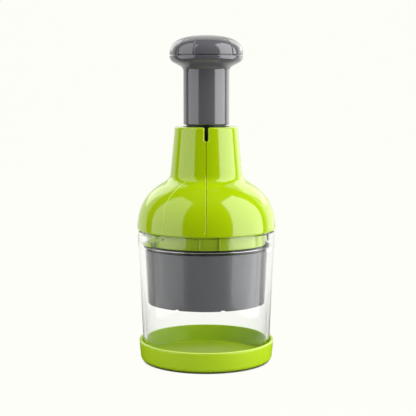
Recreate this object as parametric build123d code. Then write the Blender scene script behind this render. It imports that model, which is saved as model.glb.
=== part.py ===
from build123d import *
import math
import os

# A press-down food chopper.  Millimetres, +Z up, origin on the table under the middle of the foot.
# A clear container stands in a round tray.  A bayonet ring locks into its collar and carries two
# hinged housing halves.  A sprung plunger runs down through them to a cup with zigzag blades.

# ---- clearances -------------------------------------------------------------------------------
seat_gap = 0.3          # between faces of pieces that move apart
slide_gap = 0.35        # radial, between loose sliding pieces
fit_gap = 0.05          # radial, between a pin and its bore
press_gap = 0.1         # radial, between moulded pieces pushed together

# ---- tray and foot ----------------------------------------------------------------------------
foot_proud = 1.0        # height of the rubber foot below the tray
foot_depth = 1.3        # depth of the groove that holds it
foot_inset = 6.6        # from the side of the tray in to the foot
foot_width = 3.5
tray_floor = 3.0
tray_depth = 11.2       # from the floor to the lip
tray_side_gap = 1.0     # between the lip and the container
tray_draft = 1.3        # how much narrower the tray is at the bottom
tray_wall = 1.9
tray_lip_r = 1.5        # rounding outside the lip
tray_lip_inner_r = 0.35
tray_corner_r = 2.6
tray_locator_wall = 1.3
tray_locator_height = 0.6

# ---- clear container --------------------------------------------------------------------------
container_height = 89.5
container_foot_r = 45.0
container_taper = 3.3   # how much wider it is just under the collar
container_wall = 2.2
collar_height = 11.6
collar_step = 0.5
collar_wall = 2.5
ledge_height = 1.7      # inner ledge that the seal sits on
ledge_depth = 2.1

# ---- bayonet ----------------------------------------------------------------------------------
bayonet_count = 2
bayonet_turn = -154.0   # degrees from +X to the middle of the first lug
lug_arc = 20.0
lug_rise = 0.3          # lug above the bottom of the plug
lug_height = 2.5
track_arc = 21.0        # level part over the lug
track_height = 4.2
track_reach = 2.2       # how far a track stands in from the collar
ramp_arc = 13.0         # rising end that the lug turns in under
ramp_end = 0.8          # height left at the end of the ramp
stop_arc = 8.0

# ---- bayonet ring -----------------------------------------------------------------------------
plug_gap = 4.1          # between the ring and the collar, bridged by the lugs
plug_wall = 2.6
plug_depth = 9.0        # how far the ring reaches down into the collar
plug_rise = 2.8         # how far it stands above the collar
deck_thickness = 3.0
spigot_step = 1.2
spigot_height = 1.1
hub_wall = 1.25
hub_height = 14.7
deck_rib_count = 6
deck_rib_thickness = 1.8
deck_rib_height = 5.2
panel_turn = 3.2        # degrees from the front to the middle of the recessed panel on the plug
panel_span = 9.0        # degrees from there to the rib on each side
panel_depth = 0.9
plug_rib_width = 0.8
plug_rib_proud = 0.5
tick_turn = -9.1        # degrees from the front to the short rib that marks the locked place
tick_height = 2.2

# ---- seal -------------------------------------------------------------------------------------
seal_overlap = 0.7      # of the lip over the ledge
seal_height = 0.85

# ---- housing ----------------------------------------------------------------------------------
housing_gap = 0.8       # shadow gap between the collar and the housing
housing_height = 73.2
bell_overhang = 0.2     # past the collar
bell_side = 2.4         # straight side at the bottom of the bell
neck_rim = 5.7          # width of the neck's top face
neck_flare = 3.2        # how much wider the neck is at its foot
neck_length = 33.0
housing_wall = 2.4
neck_rounding = 1.5
bell_rounding = 1.0
seam_gap = 0.3
seam_rib_depth = 1.6
seam_rib_width = 2.6
guide_rib_thickness = 2.0
guide_rib_places = (0.5, 0.9)    # shares of the way down the neck
notch_width = 2.6
notch_depth = 9.8
notch_bevel = 0.7
shoulder_reach = 5.0    # from the neck out to where the hollow curve turns into the round one
shoulder_drop = 6.6     # and down
shoulder_slope = 30.0   # degrees there
shoulder_hollow = 3.4   # pull of the hollow curve on its ends
shoulder_pull = 12.0    # pull of the round curve at its upper end
bell_pull = 16.0        # and at its lower end

# ---- housing hinges ---------------------------------------------------------------------------
hinge_rise = 3.2        # pivot above the bottom edge of the housing
hinge_inset = 2.4       # pivot inside the bell's outer radius
hinge_pin_r = 1.1
knuckle_r = 2.2
knuckle_width = 5.8
ear_thickness = 3.0

# ---- knob, stem and sleeve --------------------------------------------------------------------
stem_wall = 2.15
stem_gap = 1.3          # between the neck and the stem at rest
stem_rounding = 0.9
knob_clearance = 4.6    # from the neck to the foot of the flare when pressed
knob_overhang = 9.75    # past the stem
flare_rise = 5.1        # slope under the knob
knob_side = 3.6
flare_fillet = 4.0
knob_lower_fillet = 5.5
cap_gap = 0.4
split_rounding = 0.5    # of the two edges where cap and stem meet
cap_height = 13.8
cap_fullness = 0.70     # squareness of the dome, 0.55 is an ellipse
cap_wall = 2.4
cap_spigot_inset = 2.9
cap_spigot_depth = 2.7
cap_spigot_wall = 1.1
web_thickness = 2.5
sleeve_wall = 1.8
sleeve_clearance = 2.2  # between sleeve and deck when pressed

# ---- twisted rod ------------------------------------------------------------------------------
rod_square = 7.0        # across flats
rod_r = 3.9
rod_foot_r = 4.0
rod_square_lead = 6.0   # square left above the bush when pressed
journal_r = 2.95
turn_per_stroke = 45.0  # degrees the blades turn in one press
bush_wall = 1.15
bush_height = 5.2
bush_gap = 0.35         # on each side of the square
swivel_washer_r = 7.0
swivel_washer_thickness = 1.0
screw_head_height = 2.4
screw_slot_length = 3.6
screw_slot_width = 0.9
swivel_head_r = 3.6
swivel_shank_r = 1.45
swivel_shank_length = 9.0

# ---- return spring ----------------------------------------------------------------------------
spring_hub_gap = 0.85
spring_sleeve_gap = 2.15
spring_wire = 1.3
spring_turns = 11
spring_seat_thickness = 1.7
spring_seat_gap = 1.5   # round the rod
wire_flat_count = 6          # sides that stand in for the round of every spring's wire

# ---- blade cup --------------------------------------------------------------------------------
cup_height = 39.3
cup_gap = 0.5           # between the cup and the seal ledge
cup_taper = 1.9
cup_wall = 2.0
cup_roof = 2.4
cup_drop = 1.8          # below the spigot
cup_rounding = 1.2
cup_notch_count = 8
cup_notch_width = 3.4
cup_notch_height = 1.3
cup_notch_turn = 16.0   # degrees from the front to the first notch
cup_boss_r = 3.0

# ---- blades -----------------------------------------------------------------------------------
blade_thickness = 0.7
blade_proud = 1.4       # tips below the cup
blade_bevel = 1.8
blade_edge = 0.12
blade_length = 19.7     # from the tip to the top edge in the carrier
floor_clearance = 0.7   # between the tips and the tray when pressed
blade_seat_depth = 3.0
carrier_gap = 2.6       # between the carrier and the cup
carrier_thickness = 4.0
carrier_hub_wall = 3.15
cross_pin_r = 1.2
blade_end_gap = 3.3     # between the ends of the long blade and the cup
blade_swing = 9.0       # of the long blade, to each side of its line
side_blade_share = 0.6  # distance of the side blades from the middle, as a share of the reach
side_blade_swing = 5.0
carrier_screw_r = 1.2
carrier_screw_head_r = 2.5
carrier_screw_head_height = 1.6
carrier_screw_length = 16.0

# ---- stripper plate ---------------------------------------------------------------------------
stripper_thickness = 2.4
stripper_inset = 0.2    # above the bottom of the cup
slot_gap = 0.4          # on each side of a blade
post_r = 1.9
post_cap_r = 3.4
post_cap_thickness = 1.4
post_tip = 0.4
stripper_spring_r = 2.85
stripper_spring_wire = 0.6
stripper_spring_turns = 4

# ---- levels worked out from the sizes above ----------------------------------------------------
tray_floor_z = foot_proud + tray_floor
tray_rim_z = tray_floor_z + tray_depth
container_z = tray_floor_z + seat_gap
container_top_r = container_foot_r + container_taper
container_slope = container_taper / (container_height - collar_height)
tray_rim_r = container_foot_r + container_slope * tray_depth + tray_side_gap + tray_wall
tray_base_r = tray_rim_r - tray_draft
foot_outer_r = tray_base_r - foot_inset
foot_inner_r = foot_outer_r - foot_width
collar_r = container_top_r + collar_step
collar_top_z = container_z + container_height
collar_z = collar_top_z - collar_height
collar_inner_r = collar_r - collar_wall
ledge_r = collar_inner_r - ledge_depth
plug_r = collar_inner_r - plug_gap
spigot_r = plug_r - spigot_step
seal_r = ledge_r + seal_overlap
bell_r = collar_r + bell_overhang
plug_z = collar_top_z - plug_depth
plug_top_z = collar_top_z + plug_rise
deck_top_z = plug_z + deck_thickness
spigot_z = plug_z - spigot_height
seal_z = plug_z - fit_gap - seal_height
ledge_top_z = seal_z - seat_gap
ledge_z = ledge_top_z - ledge_height
hub_top_z = plug_z + hub_height
bush_hole = rod_square + 2 * bush_gap
bush_r = bush_hole / 2 * math.sqrt(2) + bush_wall
hub_r = bush_r + fit_gap + hub_wall
spring_r = hub_r + spring_hub_gap + spring_wire / 2
sleeve_bore_r = spring_r + spring_wire / 2 + spring_sleeve_gap
sleeve_r = sleeve_bore_r + sleeve_wall
stem_bore_r = sleeve_r + press_gap
stem_r = stem_bore_r + stem_wall
knob_r = stem_r + knob_overhang
cap_spigot_r = knob_r - cap_spigot_inset
guide_bore_r = stem_r + slide_gap
neck_top_r = guide_bore_r + neck_rim
neck_base_r = neck_top_r + neck_flare
housing_z = collar_top_z + housing_gap
neck_top_z = housing_z + housing_height
shoulder_top_z = neck_top_z - neck_length
shoulder_base_z = housing_z + bell_side
hinge_x = bell_r - hinge_inset
hinge_z = housing_z + hinge_rise
cup_top_r = ledge_r - cup_gap
cup_bottom_r = cup_top_r - cup_taper
cup_top_z = spigot_z - cup_drop
cup_z = cup_top_z - cup_height
roof_z = cup_top_z - cup_roof
blade_tip_z = cup_z - blade_proud
press_travel = blade_tip_z - tray_floor_z - floor_clearance
twist_rate = -turn_per_stroke / press_travel
blade_top_z = blade_tip_z + blade_length
carrier_z = blade_top_z + press_gap - blade_seat_depth
carrier_top_z = carrier_z + carrier_thickness
stripper_z = cup_z + stripper_inset
stripper_top_z = stripper_z + stripper_thickness
stem_z = neck_top_z + stem_gap
flare_z = neck_top_z + press_travel + knob_clearance
knob_split_z = flare_z + flare_rise + knob_side
cap_z = knob_split_z + cap_gap
web_top_z = flare_z + 1.6 * web_thickness - flare_fillet / 2
web_z = web_top_z - web_thickness
sleeve_z = deck_top_z + sleeve_clearance + press_travel
bush_z = hub_top_z - bush_height
spring_seat_z = web_z - spring_seat_thickness - press_gap
rod_foot_z = carrier_top_z + seat_gap
carrier_r = cup_bottom_r - cup_wall - carrier_gap
carrier_hub_r = rod_foot_r + fit_gap + carrier_hub_wall
rod_square_z = cup_top_z - cup_roof + press_gap
rod_square_top_z = hub_top_z + press_travel + slide_gap + rod_square_lead

# ---- plan of the blades, posts and screws -------------------------------------------------------
blade_reach = cup_bottom_r - cup_wall - blade_end_gap
blade_pitch = blade_reach / 2.5
side_line = side_blade_share * blade_reach
centre_zigzag = tuple(
    (blade_pitch * step, blade_swing * swing)
    for step, swing in ((-2.5, -0.3), (-1.5, 1), (-0.5, -1), (0.5, 1), (1.5, -1), (2.5, 0.3))
)
side_zigzag = tuple(
    (0.95 * blade_pitch * step, side_line + side_blade_swing * swing)
    for step, swing in ((-2, -1), (-1, 1), (0, -1), (1, 1), (2, -1))
)
post_places = [
    (sign * blade_pitch * step, sign * place)
    for sign in (1, -1)
    for step, place in ((1.5, 0.9 * blade_swing), (0, side_line + 1.6 * side_blade_swing))
]
carrier_screw_places = [
    (sign * blade_pitch * step, -sign * blade_swing * swing)
    for sign in (1, -1)
    for step, swing in ((2.1, 1.35), (0.5, 0.85))
]

BASE = (Align.CENTER, Align.CENTER, Align.MIN)


def cylinder(radius, low, high):
    """A solid round bar on the Z axis between two levels."""
    return Pos(0, 0, low) * Cylinder(radius, high - low, align=BASE)


def tube(outer_r, inner_r, low, high):
    """A round tube on the Z axis between two levels."""
    return cylinder(outer_r, low, high) - cylinder(inner_r, low, high)


def spun(*edges):
    """Turn a closed outline of (radius, height) edges about the Z axis."""
    return revolve(Plane.XZ * make_face(list(edges)), Axis.Z)


def spun_polygon(*points):
    """Turn a polygon of (radius, height) points about the Z axis."""
    return spun(Polyline(*points, close=True))


def sector(outer_r, inner_r, low, high, middle, arc):
    """A piece of tube that spans `arc` degrees around the angle `middle`."""
    outline = Polyline((inner_r, low), (outer_r, low), (outer_r, high), (inner_r, high), close=True)
    return Rot(0, 0, middle - arc / 2) * revolve(Plane.XZ * make_face(outline), Axis.Z, arc)


def around(count, shape, first=0.0):
    """Copies of a shape spaced evenly about the Z axis."""
    return [Rot(0, 0, first + 360 / count * i) * shape for i in range(count)]


def coil(radius, wire_r, low, high, turns):
    """A helical spring between two levels, its wire drawn with a few flats to keep it light."""
    height = high - low - 2 * wire_r
    path = Pos(0, 0, low + wire_r) * Helix(pitch=height / turns, height=height, radius=radius)
    wire = Plane(origin=path @ 0, z_dir=path % 0) * RegularPolygon(wire_r, wire_flat_count)
    return sweep(wire, path=path, is_frenet=True)


def mitred(points, width):
    """Outline of a strip of constant width that follows a zigzag line."""
    sides = ([], [])
    last = len(points) - 1
    for i, (x, y) in enumerate(points):
        before = points[max(i - 1, 0)]
        after = points[min(i + 1, last)]
        start = math.atan2(y - before[1], x - before[0]) if i else None
        end = math.atan2(after[1] - y, after[0] - x) if i < last else None
        first = start if start is not None else end
        second = end if end is not None else start
        across = (first + second) / 2 + math.pi / 2
        reach = width / 2 / math.cos((second - first) / 2)
        for side, sign in zip(sides, (1, -1)):
            side.append((x + sign * reach * math.cos(across), y + sign * reach * math.sin(across)))
    return make_face(Polyline(*sides[0], *reversed(sides[1]), close=True))


def half_turn(points):
    """The same zigzag on the other side of the axis."""
    return tuple((-x, -y) for x, y in points)


# ---- tray and foot ----------------------------------------------------------------------------
def base_tray():
    """Green dish with a rounded lip, a foot groove and a ring that centres the container."""
    dish = spun_polygon(
        (0, foot_proud),
        (tray_base_r, foot_proud),
        (tray_rim_r, tray_rim_z),
        (tray_rim_r - tray_wall, tray_rim_z),
        (tray_base_r - tray_wall, tray_floor_z),
        (0, tray_floor_z),
    )
    for level, place, rounding in ((0, 0, tray_corner_r), (-1, -1, tray_lip_r), (-1, 0, tray_lip_inner_r)):
        rims = dish.edges().filter_by(GeomType.CIRCLE).group_by(Axis.Z)[level]
        dish = fillet(rims.sort_by(SortBy.RADIUS)[place], rounding)
    locator_r = container_foot_r - container_wall - slide_gap
    dish += tube(
        locator_r, locator_r - tray_locator_wall, tray_floor_z, tray_floor_z + tray_locator_height
    )
    groove = tube(
        foot_outer_r + fit_gap, foot_inner_r - fit_gap, foot_proud, foot_proud + foot_depth
    )
    return dish - groove


def foot_ring():
    """Rubber ring pressed into the groove under the tray."""
    ring = tube(foot_outer_r, foot_inner_r, 0, foot_proud + foot_depth)
    return fillet(ring.edges().group_by(Axis.Z)[0], foot_proud / 2)


# ---- clear container --------------------------------------------------------------------------
def clear_container():
    """Open tapered tube with a thick collar, a seal ledge and the bayonet tracks."""
    wall_inner_r = container_top_r - container_wall
    body = spun_polygon(
        (container_foot_r - container_wall, container_z),
        (container_foot_r, container_z),
        (container_top_r, collar_z),
        (collar_r, collar_z),
        (collar_r, collar_top_z),
        (collar_inner_r, collar_top_z),
        (collar_inner_r, ledge_top_z),
        (ledge_r, ledge_top_z),
        (ledge_r, ledge_z),
        (wall_inner_r, ledge_z),
    )
    return body + around(bayonet_count, bayonet_track(), first=bayonet_turn)


def bayonet_track():
    """Track over a lug: a level part, a stop behind the lug and a rising ramp before it."""
    outer_r = collar_inner_r + collar_wall / 2
    inner_r = collar_inner_r - track_reach
    low = plug_z + lug_rise + lug_height + seat_gap
    high = low + track_height
    stop_middle = -(lug_arc + stop_arc) / 2 - math.degrees(seat_gap / collar_inner_r)
    stop = sector(outer_r, inner_r, low - lug_height, high, stop_middle, stop_arc)
    start = stop_middle + stop_arc / 2
    track = sector(outer_r, inner_r, low, high, start + track_arc / 2, track_arc) + stop
    ramp = sector(outer_r, inner_r, low, high, start + track_arc + ramp_arc / 2, ramp_arc)
    ramp_length = math.radians(ramp_arc) * collar_inner_r
    wedge = Polyline((0, low), (ramp_length, low), (ramp_length, high - ramp_end), close=True)
    cut = Rot(0, 0, start + track_arc) * Pos(outer_r, 0, 0) * extrude(
        Plane.YZ * make_face(wedge), 4 * collar_wall, both=True
    )
    return track + (ramp - cut)


# ---- bayonet ring and what it carries ----------------------------------------------------------
def hinge_ear():
    """One ear of the +X hinge, from the plug wall out to the pin."""
    plug_inner_r = plug_r - plug_wall
    arm = Polyline(
        (plug_inner_r + 0.4, plug_top_z - 2 * knuckle_r),
        (plug_r, plug_top_z - 2 * knuckle_r),
        (plug_r, collar_top_z + 2 * seat_gap),
        (hinge_x, hinge_z - knuckle_r),
        (hinge_x, hinge_z + knuckle_r),
        (plug_inner_r + 0.4, hinge_z + knuckle_r),
        close=True,
    )
    outline = make_face(arm) + Pos(hinge_x, hinge_z) * Circle(knuckle_r)
    outline -= Pos(hinge_x, hinge_z) * Circle(hinge_pin_r + fit_gap)
    return extrude(Plane.XZ * outline, ear_thickness / 2, both=True)


def ear_offset():
    """Distance of an ear's middle from the middle of its hinge."""
    return knuckle_width / 2 + seat_gap + ear_thickness / 2


def hinge_ears():
    """Both ears of both hinges."""
    pair = [Pos(0, side * ear_offset(), 0) * hinge_ear() for side in (-1, 1)]
    return pair + [Rot(0, 0, 180) * ear for ear in pair]


def bayonet_ring():
    """Green ring with lugs, a ribbed deck, a sprung hub and the hinge ears."""
    plug_inner_r = plug_r - plug_wall
    ring = tube(plug_r, plug_inner_r, plug_z, plug_top_z)
    ring += cylinder(plug_r, plug_z, deck_top_z)
    ring += cylinder(hub_r, plug_z, hub_top_z)
    ring += tube(spigot_r, spigot_r - plug_wall, spigot_z, plug_z)
    rib_inner_r = sleeve_r + sleeve_clearance
    rib_length = plug_inner_r + plug_wall / 2 - rib_inner_r
    rib = Pos(rib_inner_r + rib_length / 2, 0, deck_top_z) * Box(
        rib_length, deck_rib_thickness, deck_rib_height, align=BASE
    )
    ring += around(deck_rib_count, rib, first=180 / deck_rib_count)
    low = plug_z + lug_rise
    lug_r = collar_inner_r - slide_gap
    lug = sector(lug_r, plug_r - plug_wall / 2, low, low + lug_height, 0, lug_arc)
    ring += around(bayonet_count, lug, first=bayonet_turn)
    for panel in around(2, plug_panel()):
        ring -= panel
    height = plug_depth + plug_rise
    ring += around(2, plug_rib(panel_turn - panel_span, height))
    ring += around(2, plug_rib(panel_turn + panel_span, height))
    ring += around(2, plug_rib(tick_turn, tick_height))
    ring += hinge_ears()
    ring -= cylinder(rod_square / 2 * math.sqrt(2) + slide_gap + bush_gap, plug_z, bush_z)
    return ring - cylinder(bush_r + fit_gap, bush_z, hub_top_z)


def plug_panel():
    """The cut for the shallow flat panel on the front of the plug."""
    width = 2 * plug_r * math.sin(math.radians(panel_span)) - plug_rib_width
    return Rot(0, 0, panel_turn) * Pos(0, -plug_r, plug_z) * Box(
        width, 2 * panel_depth, plug_depth + plug_rise - panel_depth, align=BASE
    )


def plug_rib(turn, height):
    """An upright rib on the plug, `turn` degrees from the front."""
    return Rot(0, 0, turn) * Pos(0, -plug_r - plug_rib_proud, plug_z) * Box(
        plug_rib_width, plug_wall, height, align=(Align.CENTER, Align.MIN, Align.MIN)
    )


def seal_ring():
    """Thin black seal with a tapered outer lip, held on the spigot under the plug."""
    inner_r = spigot_r + fit_gap
    top = plug_z - fit_gap
    middle_z = seal_z + seal_height / 2
    return spun_polygon(
        (inner_r, seal_z), (seal_r, seal_z), (seal_r, middle_z), (plug_r, top), (inner_r, top)
    )


def index_bush():
    """Bush with a square hole that makes the twisted rod turn as it slides."""
    bush = cylinder(bush_r, bush_z + fit_gap, hub_top_z)
    hole = Pos(0, 0, bush_z) * Box(bush_hole, bush_hole, bush_height + 1, align=BASE)
    return bush - hole


def hinge_pins():
    """The two steel pins that carry the housing halves."""
    length = 2 * (ear_offset() + ear_thickness / 2)
    pin = Pos(hinge_x, 0, hinge_z) * Rot(90, 0, 0) * Cylinder(hinge_pin_r, length)
    return Compound(children=around(2, pin))


# ---- housing halves ---------------------------------------------------------------------------
def housing_body(inset):
    """The solid turned form of neck, shoulder and bell, drawn in by `inset`."""
    drop = 0.6 * inset
    neck_low = (neck_base_r - inset, shoulder_top_z - drop)
    neck_high = (neck_top_r - inset, neck_top_z - inset)
    bell_low = (bell_r - inset, shoulder_base_z)
    turn = (neck_low[0] + shoulder_reach, neck_low[1] - shoulder_drop)
    out = math.cos(math.radians(shoulder_slope))
    down = math.sin(math.radians(shoulder_slope))
    flare = neck_flare / neck_length
    hollow = Bezier(
        neck_low,
        (neck_low[0] + flare * shoulder_hollow, neck_low[1] - shoulder_hollow),
        (turn[0] - out * shoulder_hollow, turn[1] + down * shoulder_hollow),
        turn,
    )
    round_side = Bezier(
        turn,
        (turn[0] + out * shoulder_pull, turn[1] - down * shoulder_pull),
        (bell_low[0], bell_low[1] + bell_pull),
        bell_low,
    )
    floor = (bell_r - inset, housing_z)
    return spun(
        Polyline((0, neck_high[1]), neck_high, neck_low),
        hollow,
        round_side,
        Polyline(bell_low, floor, (0, floor[1]), (0, neck_high[1])),
    )


def housing_shell():
    """Both halves as one shell, with the rings that guide the stem."""
    outer = housing_body(0)
    rims = outer.edges().filter_by(GeomType.CIRCLE)
    outer = fillet(rims.group_by(Axis.Z)[-1], neck_rounding)
    outer = fillet(outer.edges().filter_by(GeomType.CIRCLE).group_by(Axis.Z)[0], bell_rounding)
    shell = outer - housing_body(housing_wall)
    for share in guide_rib_places:
        low = neck_top_z - share * neck_length
        rib_r = neck_top_r + share * neck_flare - housing_wall / 2
        shell += tube(rib_r, guide_bore_r, low, low + guide_rib_thickness)
    return shell - cylinder(guide_bore_r, shoulder_top_z, neck_top_z)


def seam_ribs():
    """Low ribs that stiffen the two seams inside the shell."""
    band = housing_body(housing_wall / 2) - housing_body(housing_wall + seam_rib_depth)
    middle_z = (housing_z + neck_top_z) / 2
    strip = Pos(0, 0, middle_z) * Box(2 * seam_rib_width, 3 * bell_r, housing_height)
    return (band & strip) - cylinder(guide_bore_r, shoulder_top_z, neck_top_z)


def finger_notch():
    """The round-ended slot where the seam meets the top of the neck."""
    end_z = neck_top_z - notch_depth + notch_width / 2
    slot = Pos(0, 0, end_z) * Box(notch_width, 3 * neck_base_r, 2 * notch_depth, align=BASE)
    return slot + Pos(0, 0, end_z) * Rot(90, 0, 0) * Cylinder(notch_width / 2, 3 * neck_base_r)


def bevelled_notch(half):
    """The +X half with the outer edge of both slots bevelled, up the side and round the end."""
    low = neck_top_z - notch_depth - notch_width
    high = neck_top_z - neck_rounding
    rim = [
        edge
        for edge in half.edges()
        if low < edge.center().Z < high
        and edge.center().X < notch_width
        and abs(edge.center().Y) > neck_top_r - housing_wall / 2
        and edge.length > notch_width / 2
    ]
    return chamfer(rim, notch_bevel)


def hinge_cut():
    """Room in the housing for the ears of the +X hinge."""
    width = ear_thickness + 2 * seat_gap
    height = hinge_rise + knuckle_r + 2 * seat_gap
    cuts = []
    for side in (-1, 1):
        place = Pos(hinge_x, side * ear_offset(), housing_z)
        cuts.append(place * Box(4 * hinge_inset, width, height, align=BASE))
    return cuts


def housing_half():
    """The +X half of the housing with its hinge knuckle."""
    shell = housing_shell() + seam_ribs()
    shell -= finger_notch()
    side = Pos(seam_gap / 2, 0, housing_z) * Box(
        2 * bell_r, 3 * bell_r, housing_height, align=(Align.MIN, Align.CENTER, Align.MIN)
    )
    half = shell & side
    half = bevelled_notch(half)
    half -= hinge_cut()
    half += Pos(hinge_x, 0, hinge_z) * Rot(90, 0, 0) * Cylinder(knuckle_r, knuckle_width)
    pin = Pos(hinge_x, 0, hinge_z) * Rot(90, 0, 0) * Cylinder(hinge_pin_r + fit_gap, 4 * knuckle_width)
    return half - pin


# ---- knob and plunger -------------------------------------------------------------------------
def dome(radius, height, low):
    """Half of a squared oval turned about Z, standing on a level."""
    edge = (radius, low)
    top = (0, low + height)
    curve = Bezier(
        edge, (radius, low + cap_fullness * height), (cap_fullness * radius, top[1]), top
    )
    return spun(curve, Polyline(top, (0, low), edge))


def knob_cap():
    """Domed top of the knob with the spigot that snaps into the stem."""
    cap = dome(knob_r, cap_height, cap_z)
    cap = fillet(cap.edges().filter_by(GeomType.CIRCLE).group_by(Axis.Z)[0], split_rounding)
    spigot_low = cap_z - cap_spigot_depth
    cap += cylinder(cap_spigot_r, spigot_low, cap_z)
    hollow_r = cap_spigot_r - cap_spigot_wall
    cap -= cylinder(hollow_r, spigot_low, cap_z)
    return cap - dome(hollow_r, cap_height - cap_wall, cap_z)


def knob_stem():
    """Hollow stem that flares out under the knob."""
    outline = FilletPolyline(
        (stem_r, stem_z),
        (stem_r, flare_z),
        (knob_r, flare_z + flare_rise),
        (knob_r, knob_split_z),
        radius=[flare_fillet, knob_lower_fillet],
    )
    inside = Polyline((knob_r, knob_split_z), (0, knob_split_z), (0, stem_z), (stem_r, stem_z))
    stem = spun(outline, inside)
    stem = fillet(stem.edges().filter_by(GeomType.CIRCLE).group_by(Axis.Z)[0], stem_rounding)
    stem = fillet(stem.edges().filter_by(GeomType.CIRCLE).group_by(Axis.Z)[-1], split_rounding)
    stem -= cylinder(stem_bore_r, stem_z, web_z)
    recess_z = cap_z - cap_spigot_depth - seat_gap
    stem -= cylinder(cap_spigot_r + press_gap, recess_z, knob_split_z)
    stem -= cylinder(stem_bore_r, web_top_z, recess_z)
    return stem - cylinder(journal_r + fit_gap, web_z, web_top_z)


def plunger_sleeve():
    """Dark tube inside the stem that covers the return spring."""
    return tube(sleeve_r, sleeve_bore_r, sleeve_z, web_z - fit_gap)


def spring_seat():
    """Washer under the web that takes the top of the return spring."""
    high = spring_seat_z + spring_seat_thickness
    return tube(sleeve_bore_r - slide_gap, rod_r + spring_seat_gap, spring_seat_z, high)


def return_spring():
    """Long coil spring from the deck to the seat under the knob."""
    return coil(
        spring_r, spring_wire / 2, deck_top_z + seat_gap, spring_seat_z - seat_gap, spring_turns
    )


# ---- twisted rod and its swivel ----------------------------------------------------------------
def twisted_rod():
    """Steel rod: round foot, twisted square that the bush follows, round top and journal."""
    length = rod_square_top_z - rod_square_z
    start_turn = (rod_square_z - bush_z - bush_height / 2) * twist_rate
    section = Rot(0, 0, start_turn) * Rectangle(rod_square, rod_square)
    square = Solid.extrude_linear_with_rotation(
        section.face(), (0, 0, 0), (0, 0, length), length * twist_rate
    )
    rod = Pos(0, 0, rod_square_z) * square
    rod += cylinder(rod_foot_r, rod_foot_z, rod_square_z)
    rod += cylinder(rod_r, rod_square_top_z, web_z - seat_gap)
    rod += cylinder(journal_r, web_z - seat_gap, web_top_z + seat_gap)
    rod -= cylinder(
        swivel_shank_r + fit_gap, web_top_z - swivel_shank_length, web_top_z + seat_gap
    )
    pin_hole = Pos(0, 0, cross_pin_z()) * Rot(0, 90, 0) * Cylinder(
        cross_pin_r + fit_gap, 4 * rod_foot_r
    )
    return rod - pin_hole


def cross_pin_z():
    """Height of the pin that locks the rod in the carrier's hub."""
    return (rod_foot_z + roof_z) / 2


def swivel_washer():
    """Washer on the end of the journal, above the web."""
    low = web_top_z + seat_gap
    return tube(swivel_washer_r, swivel_shank_r + press_gap, low, low + swivel_washer_thickness)


def swivel_screw():
    """Screw that holds the washer on the rod and lets the knob swivel."""
    head_z = web_top_z + seat_gap + swivel_washer_thickness
    head = cylinder(swivel_head_r, head_z, head_z + screw_head_height)
    head = fillet(head.edges().group_by(Axis.Z)[-1], screw_head_height / 3)
    drive = Pos(0, 0, head_z + screw_head_height / 2) * (
        Box(screw_slot_length, screw_slot_width, screw_head_height, align=BASE)
        + Box(screw_slot_width, screw_slot_length, screw_head_height, align=BASE)
    )
    shank = cylinder(swivel_shank_r, web_top_z - swivel_shank_length + seat_gap, head_z)
    return head - drive + shank


# ---- blade cup, carrier and blades --------------------------------------------------------------
def cup_r(level):
    """Outer radius of the tapered cup at a level."""
    share = (level - cup_z) / cup_height
    return cup_bottom_r + (cup_top_r - cup_bottom_r) * share


def blade_cup():
    """Grey cup, open below, with screw bosses under its roof and notches round its rim."""
    cup = spun_polygon((0, cup_z), (cup_bottom_r, cup_z), (cup_top_r, cup_top_z), (0, cup_top_z))
    cup = fillet(cup.edges().filter_by(GeomType.CIRCLE).group_by(Axis.Z)[-1], cup_rounding)
    cup -= spun_polygon(
        (0, cup_z), (cup_bottom_r - cup_wall, cup_z), (cup_r(roof_z) - cup_wall, roof_z), (0, roof_z)
    )
    notch = Pos(cup_bottom_r, 0, cup_z) * Box(
        4 * cup_wall, cup_notch_width, cup_notch_height, align=BASE
    )
    for cut in around(cup_notch_count, notch, first=cup_notch_turn - 90):
        cup -= cut
    for x, y in carrier_screw_places:
        boss = Pos(x, y, 0) * cylinder(cup_boss_r, carrier_top_z + fit_gap, roof_z)
        pilot = Pos(x, y, 0) * cylinder(
            carrier_screw_r + fit_gap, carrier_top_z, carrier_z + carrier_screw_length + seat_gap
        )
        cup = cup + boss - pilot
    return cup - cylinder(rod_square / 2 * math.sqrt(2) + slide_gap, roof_z, cup_top_z)


def blade_carrier():
    """Disc that holds the blades, with the hub that is pinned to the rod."""
    disc = cylinder(carrier_r, carrier_z, carrier_top_z)
    disc += cylinder(carrier_hub_r, carrier_top_z, roof_z - fit_gap)
    disc -= cylinder(rod_foot_r + fit_gap, rod_foot_z, roof_z)
    groove_width = blade_thickness + 2 * fit_gap
    for line in (centre_zigzag, side_zigzag, half_turn(side_zigzag)):
        disc -= Pos(0, 0, carrier_z) * extrude(mitred(line, groove_width), blade_seat_depth)
    for x, y in carrier_screw_places:
        disc -= Pos(x, y, 0) * cylinder(carrier_screw_r + press_gap, carrier_z, carrier_top_z)
    for x, y in post_places:
        disc -= Pos(x, y, 0) * cylinder(post_r + slide_gap, carrier_z, carrier_top_z)
    pin_hole = Pos(0, 0, cross_pin_z()) * Rot(0, 90, 0) * Cylinder(
        cross_pin_r + fit_gap, 4 * carrier_hub_r
    )
    return disc - pin_hole


def cross_pin():
    """Steel pin through the carrier's hub and the rod."""
    return Pos(0, 0, cross_pin_z()) * Rot(0, 90, 0) * Cylinder(cross_pin_r, 1.9 * carrier_hub_r)


def zigzag_blade(points):
    """Folded steel blade with a sharpened lower edge."""
    full = mitred(points, blade_thickness)
    bevel_z = blade_tip_z + blade_bevel
    plate = Pos(0, 0, bevel_z) * extrude(full, blade_top_z - bevel_z)
    edge = Pos(0, 0, blade_tip_z) * mitred(points, blade_edge)
    bevel = loft([edge.face(), (Pos(0, 0, bevel_z) * full).face()], ruled=True)
    return plate + bevel


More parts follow.
